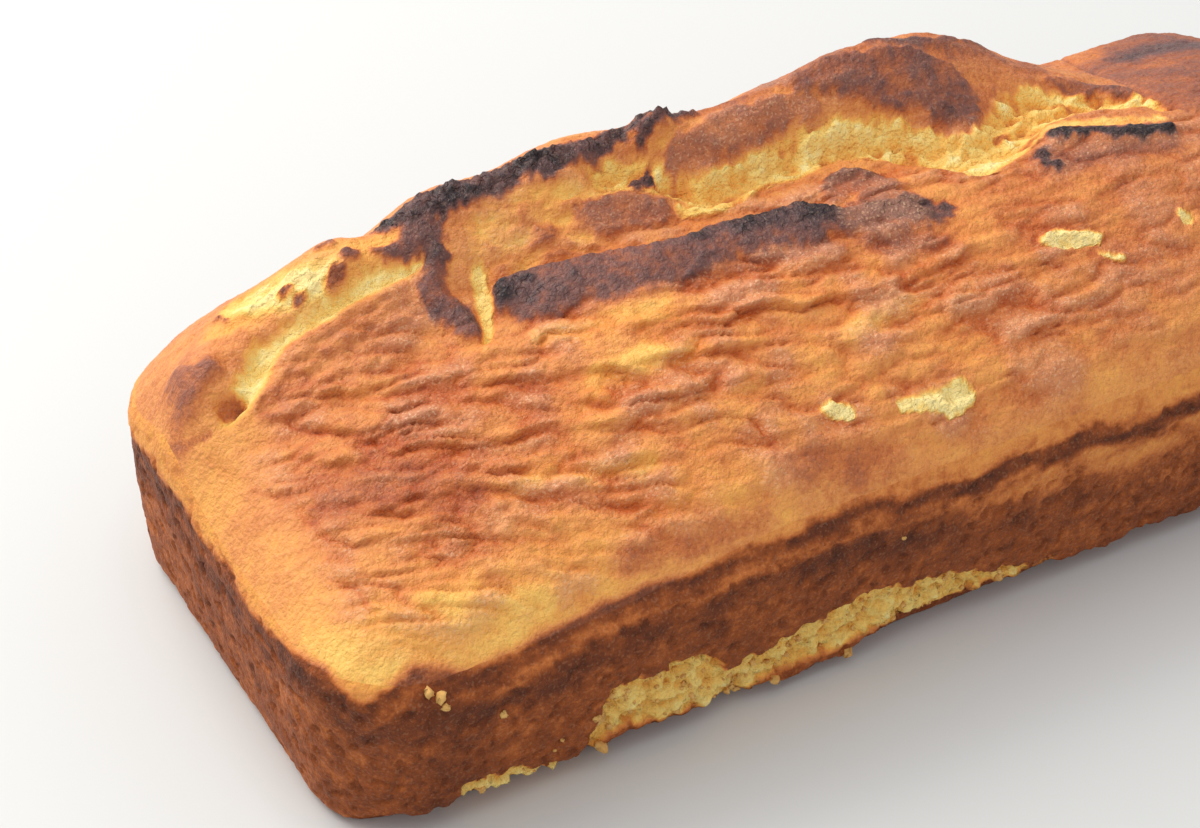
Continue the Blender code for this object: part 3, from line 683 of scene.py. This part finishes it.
def baked_skin(name, gloss):
    """The crust's finish: browning from its attribute, mottled, with painted shade in the creases, painted
    sheen and glints, and rough where it crumbles.
    """
    skin = Finish(name, Metallic=0.0, Specular_IOR_Level=gloss)
    grain, mottle, pores = skin.grain(0.0007, 3.0, 0.6), skin.grain(0.0036, 3.0), skin.grain(0.0011, 2.0)
    bare, shade_in_creases, sheen_tone = skin.worn("bare"), skin.worn("shade_in_creases"), skin.worn("painted_sheen")
    fine = skin.grain(0.0013, 2.0, 0.6)
    level = skin.worn("bake") + (grain - 0.5) * 0.16 + (fine - 0.5) * 0.14 + (mottle - 0.5) * 0.14
    wall = skin.worn("wall")
    colour = skin.add("ShaderNodeValToRGB", {"stops": BROWNING_AND_SHEEN}, {0: level})
    wall_colour = skin.add("ShaderNodeValToRGB", {"stops": WALL_BROWNING}, {0: level})
    colour = skin.tint(wall, colour, wall_colour)
    # Painted sheen: a dull pinkish tint laid over the high folds and plates
    colour = skin.tint(sheen_tone * 0.55, colour, PAINTED_SHEEN_TINT)
    # Painted shade: the creases are darkened by multiplying in a tint
    colour = skin.tint(shade_in_creases, colour, CREASE_SHADE_TINT, "MULTIPLY")
    # Painted glints: small pale dots, most of them on the painted sheen
    glint_dots = skin.spread(skin.grain(0.00050, 0.0), 0.60, 0.74)
    colour = skin.tint(glint_dots * (sheen_tone * 0.45 + 0.08), colour, GLINT_TINT)
    skin.feed(skin.shader.inputs["Base Color"], colour)
    char = skin.spread(skin.worn("bake"), 0.74, 0.92)
    skin.feed(skin.shader.inputs["Roughness"], 0.55 + bare * 0.30 - char * 0.10 + (grain - 0.5) * 0.15)
    flakes = skin.spread(skin.grain(0.0016, 1.0), 0.52, 0.62)
    height = grain * 0.7 + fine * 0.9 + pores * (0.4 + bare * 1.5) - flakes * char * 0.5
    bump = skin.add("ShaderNodeBump", sockets={"Strength": 1.0, "Distance": 0.00055, "Height": height})
    skin.feed(skin.shader.inputs["Normal"], bump)
    return skin.material


leaning_y = top_y - FOLD_LEAN * folds * within * (1.0 - split)
risen_top = shell("risen_top", top_x, leaning_y, top_z, False, {
    "bake": bake, "shade_in_creases": crease_shade, "painted_sheen": painted_sheen, "bare": bared, "wall": walled})
risen_top.data.materials.append(baked_skin("browned_crust_top", GLOSS_TOP))
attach(risen_top, "root")
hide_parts("loaf")

# The side crust: a firm brown skin that the tin's walls gave the loaf, drawn in at the foot and
# darkest along the rim. At the near foot it stuck to the tin and tore off, down to the crumb.
NEAR_FLARE, FAR_FLARE, END_FLARE = 0.0035, 0.0028, 0.0016
WALL_TOP, FOOT_RECESS = 0.88, 0.0034
ROWS_WALL, ROWS_SHOULDER = 50, 14
UNDERSIDE_ROWS = (0.04, 0.25, 0.5, 0.75, 0.9, 0.96, 0.99)
# How far the wall bows out of its slope, in metres, by the share of its height
WALL_BOW = ((0, -0.0016), (0.03, -0.0006), (0.06, -0.0001), (0.33, 0.0004), (0.66, 0.0004), (0.9, 0.0001))
# The torn foot of the near side: x and the height of the tear, in millimetres
TEAR_TOP = ((-112, 0), (-103, 0), (-101, 9.5), (-92, 9), (-86, 5.5), (-79, 4), (-77, 7), (-74, 17.5),
            (-70, 19), (-60, 18.5), (-55, 17), (-50, 12), (-45, 12.5), (-38, 14), (-30, 16), (-20, 17),
            (-12, 15.5), (-4, 13.5), (3, 10), (9, 8.5), (16, 6), (24, 3), (34, 1.5), (60, 0), (121, 0))
TEAR_FOOT = ((-112, 0), (-77, 3), (-73, 7), (-65, 6), (-57, 5.5), (-48, 3), (-40, 4), (-30, 5),
             (-23, 6), (-12, 6.5), (7, 6.5), (20, 5), (34, 4), (60, 0))
# Where the near wall's foot broke off, as heights along it
FOOT_LINE = ((-121, 3), (-101, 5.5), (-92, 5), (-83, 3), (-74, 4.5), (-65, 5), (-57, 4.7), (-50, 3.7),
             (-43, 2.8), (-37, 2.2), (-31, 2.9), (-24.4, 2.4), (-21, 5.2), (-12, 6.2), (7, 6),
             (20, 4.5), (30, 3.6), (43, 5), (60, 4.5), (121, 4))

ring_i = np.concatenate([np.arange(STEPS_ALONG), np.full(STEPS_ACROSS, STEPS_ALONG),
                         np.arange(STEPS_ALONG, 0, -1), np.zeros(STEPS_ACROSS, int)])
ring_j = np.concatenate([np.zeros(STEPS_ALONG, int), np.arange(STEPS_ACROSS),
                         np.full(STEPS_ALONG, STEPS_ACROSS), np.arange(STEPS_ACROSS, 0, -1)])
edge_x, edge_y, edge_z = (part[ring_i, ring_j][:, None] for part in (top_x, leaning_y, top_z))
foot_x, foot_y, out_x, out_y = (
    part[:, None] for part in plan_point(grid_along[ring_i, ring_j], grid_across[ring_i, ring_j]))
rim = rim_height(foot_x, foot_y)
flare = END_FLARE * out_x ** 2 + np.where(out_y < 0.0, NEAR_FLARE, FAR_FLARE) * out_y ** 2
share = np.concatenate([(0.0, 0.01, 0.02, 0.035, 0.05), np.linspace(0.07, WALL_TOP, ROWS_WALL)])
out = share * flare + np.interp(share, *np.array(WALL_BOW).T)
wall_x, wall_y, wall_z = foot_x + out_x * out, foot_y + out_y * out, share * rim
inner_i, inner_j = np.clip(ring_i, 1, STEPS_ALONG - 1), np.clip(ring_j, 1, STEPS_ACROSS - 1)
inner_x, inner_y = (part[inner_i, inner_j][:, None] for part in (top_x, top_y))
edge_climb = dome_height(inner_x, inner_y) - dome_height(foot_x, foot_y)
edge_slope = edge_climb / np.hypot(inner_x - foot_x, inner_y - foot_y)
corner_z = edge_z - edge_slope * flare
corner_x = foot_x + out_x * flare * corner_z / rim
corner_y = foot_y + out_y * flare * corner_z / rim
turn = np.linspace(0.0, 1.0, ROWS_SHOULDER + 1)[1:]
side_x, side_y, side_z = (
    np.hstack([wall, (1 - turn) ** 2 * wall[:, -1:] + 2 * turn * (1 - turn) * corner + turn ** 2 * edge])
    for wall, corner, edge in (
        (wall_x, corner_x, edge_x), (wall_y, corner_y, edge_y), (wall_z, corner_z, edge_z)))

rough = lumps(side_x, side_y, side_z, 0.0013, 51)
knots = lumps(side_x, side_y, side_z, 0.0030, 52)
waves = lumps(side_x, side_y, side_z, 0.0100, 53)
streaks = lumps(side_x, side_y, side_z * 2.6, 0.0110, 54)
near_side = smooth(-side_y, 0.040, 0.047)
tear_edge = 1.3 * MM * knots + 0.9 * MM * rough + 1.4 * MM * waves
tear_top = np.interp(foot_x, *(np.array(TEAR_TOP).T * MM))
tear_foot = np.interp(foot_x, *(np.array(TEAR_FOOT).T * MM))
torn = (1.0 - smooth(side_z + tear_edge, tear_top - 0.5 * MM, tear_top + 0.5 * MM)) * near_side
torn *= smooth(tear_top, 0.0004, 0.0020)
bottom_skin = (1.0 - smooth(side_z + 0.5 * tear_edge, tear_foot - 0.6 * MM, tear_foot + 0.4 * MM))
bare_side = torn * (1.0 - bottom_skin * smooth(tear_foot, 0.0002, 0.001))
pits = smooth(lumps(side_x, side_y, side_z, 0.0021, 55), 0.15, 0.5)
rim_level, _ = rim_browning(side_x, side_y, side_z)
foot_line = np.interp(foot_x, *(np.array(FOOT_LINE).T * MM))
broken_foot = 1.0 - smooth(side_z + 0.5 * tear_edge, foot_line - 0.9 * MM, foot_line + 0.3 * MM)
broken_foot *= near_side
loose = np.concatenate([np.ones(len(share)), 1.0 - turn ** 3])
push = 0.12 * rough + 0.24 * knots + 0.34 * waves - 2.2 * np.clip(rim_level - 0.70, 0.0, 0.2) - 0.5 * pits
push += bare_side * (-1.3 + 1.1 * knots + 0.8 * rough - 1.0 * pits + 0.8 * waves)
push = push * MM * loose - broken_foot * FOOT_RECESS * (1.0 + 0.25 * waves)
side_x = side_x + out_x * push
side_y = side_y + out_y * push

side_bake = rim_level + 0.045 * waves + 0.045 * knots + 0.030 * rough + 0.05 * pits
charred_corner = near_side * smooth(-side_x, 0.094, 0.099) * (1.0 - smooth(-side_x, 0.105, 0.112))
side_bake += (0.80 - side_bake) * 0.6 * charred_corner * smooth(streaks + 0.5, 0.0, 0.6)
foot_edge = 1.0 - smooth(side_z, 0.001, 0.005)
side_bake += (0.50 - side_bake) * 0.6 * foot_edge * smooth(knots + 0.4 * rough, -0.1, 0.4)
# Painted shade on the torn crumb: its pits are browned darker and its raised knots paler
side_bake += (0.16 + 0.15 * pits - 0.12 * knots - 0.08 * rough - side_bake) * bare_side
side_bake += (0.74 - side_bake) * 0.8 * broken_foot

spokes = np.array(UNDERSIDE_ROWS)
under_x, under_y = side_x[:, :1] * spokes, side_y[:, :1] * spokes
under_z = 0.2 * MM * (1.2 + lumps(under_x, under_y, 0.0, 0.004, 57))
side_x, side_y, side_z = (
    np.hstack(pair) for pair in ((under_x, side_x), (under_y, side_y), (under_z, side_z)))
side_bake = np.hstack([0.68 + 0.08 * lumps(under_x, under_y, 0.0, 0.006, 58), side_bake])
bare_side = np.hstack([0.0 * under_x, bare_side])

side_crust = shell("side_crust", side_x, side_y, side_z, True, {
    "bake": side_bake, "shade_in_creases": 0.0 * side_bake, "painted_sheen": 0.0 * side_bake, "bare": bare_side,
    "wall": 0.0 * side_bake + 1.0})
side_crust.data.materials.append(baked_skin("browned_crust_side", GLOSS_SIDE))
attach(side_crust, "root")
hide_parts("loaf")

# The crumbs: soft bits that the torn foot shed and that still hang on along it or stick to the
# wall, and a flake that lifted off the rim at the near left corner.
CRUMBS_ON_TEAR, CRUMB_FACETS = 150, 2
LUMPINESS = 2.6
CRUMB_PALE, CRUMB_BROWN = (0.86, 0.56, 0.18, 1.0), (0.58, 0.26, 0.07, 1.0)
# Crumbs in plain sight on the near wall: x, height and half-size in millimetres
SEEN_CRUMBS = ((-94.3, 23.6, 0.7), (-82.4, 10.8, 0.4), (-84.3, 9.4, 0.4), (-16.8, 28.5, 0.4),
               (-75.1, 11.9, 1.3), (-76.1, 13.4, 0.9), (-18.3, 6.9, 0.8), (-74.5, 5.0, 1.4),
               (-73.4, 3.0, 1.5), (-72.8, 1.4, 1.2), (-41.0, 2.0, 1.1), (-40.0, 3.7, 1.0),
               (-46.5, 2.7, 1.0), (-24.6, 3.4, 1.3), (-22.9, 2.4, 0.9), (-106.4, 32.9, 1.1),
               (-104.8, 31.8, 1.2), (-104.4, 30.4, 0.8))

crumb_rng = np.random.default_rng(71)
crumb_tree = bpy.data.node_groups.new("scattered_crumbs", "GeometryNodeTree")
crumb_sockets = {
    (way, label): crumb_tree.interface.new_socket(name=label, in_out=way, socket_type="NodeSocket" + kind)
    for way, label, kind in (
        ("INPUT", "Geometry", "Geometry"), ("INPUT", "Lumpiness", "Float"), ("INPUT", "Seed", "Int"),
        ("INPUT", "Material", "Material"), ("OUTPUT", "Geometry", "Geometry"))}


def crumb_node(kind, settings=None, **inputs):
    """Adds a node to the crumbs' tree, with its settings, and its inputs as values or other sockets."""
    node = crumb_tree.nodes.new(kind)
    for key, value in (settings or {}).items():
        setattr(node, key, value)
    for key, value in inputs.items():
        socket = node.inputs[int(key[1:])] if key[1:].isdigit() else node.inputs[key.replace("_", " ")]
        if isinstance(value, bpy.types.NodeSocket):
            crumb_tree.links.new(value, socket)
        else:
            socket.default_value = value
    return node


given = crumb_tree.nodes.new("NodeGroupInput").outputs
ball = crumb_node("GeometryNodeMeshIcoSphere", Radius=1.0, Subdivisions=CRUMB_FACETS).outputs["Mesh"]
bumps = crumb_node("ShaderNodeTexNoise", Scale=1.9, Detail=3.0).outputs["Color"]
bumps = crumb_node("ShaderNodeVectorMath", {"operation": "SUBTRACT"},
                   _0=bumps, _1=(0.5, 0.5, 0.5)).outputs[0]
bumps = crumb_node("ShaderNodeVectorMath", {"operation": "SCALE"},
                   _0=bumps, Scale=given["Lumpiness"]).outputs[0]
crumb = crumb_node("GeometryNodeSetPosition", Geometry=ball, Offset=bumps).outputs[0]
spin = crumb_node("FunctionNodeRandomValue", {"data_type": "FLOAT_VECTOR"},
                  _1=(6.28, 6.28, 6.28), Seed=given["Seed"])
half_size = crumb_node("GeometryNodeInputNamedAttribute", {"data_type": "FLOAT"}, Name="half_size")
shape = crumb_node("FunctionNodeRandomValue", {"data_type": "FLOAT_VECTOR"},
                   _0=(0.6, 0.6, 0.6), _1=(1.2, 1.2, 1.2), Seed=given["Seed"])
crumb_scale = crumb_node("ShaderNodeVectorMath", {"operation": "SCALE"},
                         _0=shape.outputs[0], Scale=half_size.outputs["Attribute"]).outputs[0]
crumbs = crumb_node("GeometryNodeInstanceOnPoints", Points=given["Geometry"], Instance=crumb,
                    Rotation=spin.outputs[0], Scale=crumb_scale).outputs[0]
crumbs = crumb_node("GeometryNodeRealizeInstances", Geometry=crumbs).outputs[0]
crumbs = crumb_node("GeometryNodeSetMaterial", Geometry=crumbs, Material=given["Material"]).outputs[0]
crumb_tree.links.new(crumbs, crumb_tree.nodes.new("NodeGroupOutput").inputs[0])

torn_places = np.argwhere(bare_side > 0.6)
picked = torn_places[crumb_rng.choice(len(torn_places), CRUMBS_ON_TEAR, replace=False)]
picked_sizes = 0.25 + 0.55 * crumb_rng.random(CRUMBS_ON_TEAR) ** 2
seats = [(spot[0], spot[1], size) for spot, size in zip(picked, picked_sizes)]
for x, height, size in SEEN_CRUMBS:
    away = np.hypot(side_x - x * MM, side_z - height * MM) + 1.0 * (side_y > -0.030)
    seats.append((*np.unravel_index(np.argmin(away), away.shape), size))
spots = bpy.data.meshes.new("crumb_spots")
spots.from_pydata(
    [(side_x[i, j], side_y[i, j] - 0.3 * size * MM, max(side_z[i, j], 1.2 * size * MM))
     for i, j, size in seats], [], [])
half_sizes = spots.attributes.new("half_size", "FLOAT", "POINT")
half_sizes.data.foreach_set("value", [size * MM for _, _, size in seats])
crumb_spots = bpy.data.objects.new("crumb_spots", spots)
bpy.context.scene.collection.objects.link(crumb_spots)
crumb_finish = Finish("pale_crumb", Metallic=0.0, Roughness=0.85, Specular_IOR_Level=0.2)
crumb_tone = crumb_finish.tint(crumb_finish.grain(0.0024), CRUMB_PALE, CRUMB_BROWN)
crumb_finish.feed(crumb_finish.shader.inputs["Base Color"], crumb_tone)
scatter = crumb_spots.modifiers.new("crumbs", "NODES")
scatter.node_group = crumb_tree
for label, value in (("Lumpiness", LUMPINESS), ("Seed", 7), ("Material", crumb_finish.material)):
    scatter[crumb_sockets["INPUT", label].identifier] = value
evaluated = crumb_spots.evaluated_get(bpy.context.evaluated_depsgraph_get())
loose_crumbs = bpy.data.objects.new("loose_crumbs", bpy.data.meshes.new_from_object(evaluated))
bpy.context.scene.collection.objects.link(loose_crumbs)
crumb_spots.modifiers.remove(scatter)
bpy.data.objects.remove(crumb_spots)
loose_crumbs.data.shade_smooth()
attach(loose_crumbs, "root")
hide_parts("loaf")

# The floor and the light: a plain pale floor, and the soft light of a big window behind the loaf
FLOOR_REACH, FLOOR_DEPTH = 3, -0.0002
FLOOR_COLOUR = (0.66, 0.66, 0.635, 1.0)
LIGHT_COLOUR = (1.0, 0.985, 0.96)
ROOM_COLOUR, ROOM_STRENGTH = (0.93, 0.95, 1.0, 1.0), 0.74

floor_mesh = bpy.data.meshes.new("floor")
floor_mesh.from_pydata(
    [(FLOOR_REACH * x, FLOOR_REACH * y, 0) for x, y in ((-1, -1), (1, -1), (1, 1), (-1, 1))],
    [], [(0, 1, 2, 3)])
floor = bpy.data.objects.new("floor", floor_mesh)
floor.location.z = FLOOR_DEPTH
bpy.context.scene.collection.objects.link(floor)
floor_finish = Finish("pale_floor", Base_Color=FLOOR_COLOUR, Roughness=0.5, Specular_IOR_Level=0.3)
floor_mesh.materials.append(floor_finish.material)

for name, place, aim, size, power in (
    ("window", (-0.35, 0.80, 0.75), (-0.05, 0.14, 0.0), 0.8, 11.0),
    ("ceiling", (-0.40, 0.00, 1.60), (0.0, 0.0, 0.0), 1.5, 7.0),
):
    light = bpy.data.lights.new(name, "AREA")
    light.size, light.energy = size, power
    light.color = LIGHT_COLOUR
    lamp = bpy.data.objects.new(name, light)
    lamp.location = place
    lamp.rotation_euler = (Vector(aim) - Vector(place)).to_track_quat("-Z", "Y").to_euler()
    bpy.context.scene.collection.objects.link(lamp)
world = bpy.data.worlds.new("room")
world.use_nodes = True
world.node_tree.nodes["Background"].inputs["Color"].default_value = ROOM_COLOUR
world.node_tree.nodes["Background"].inputs["Strength"].default_value = ROOM_STRENGTH
bpy.context.scene.world = world
bpy.context.scene.view_settings.view_transform = "Standard"

bpy.context.view_layer.update()
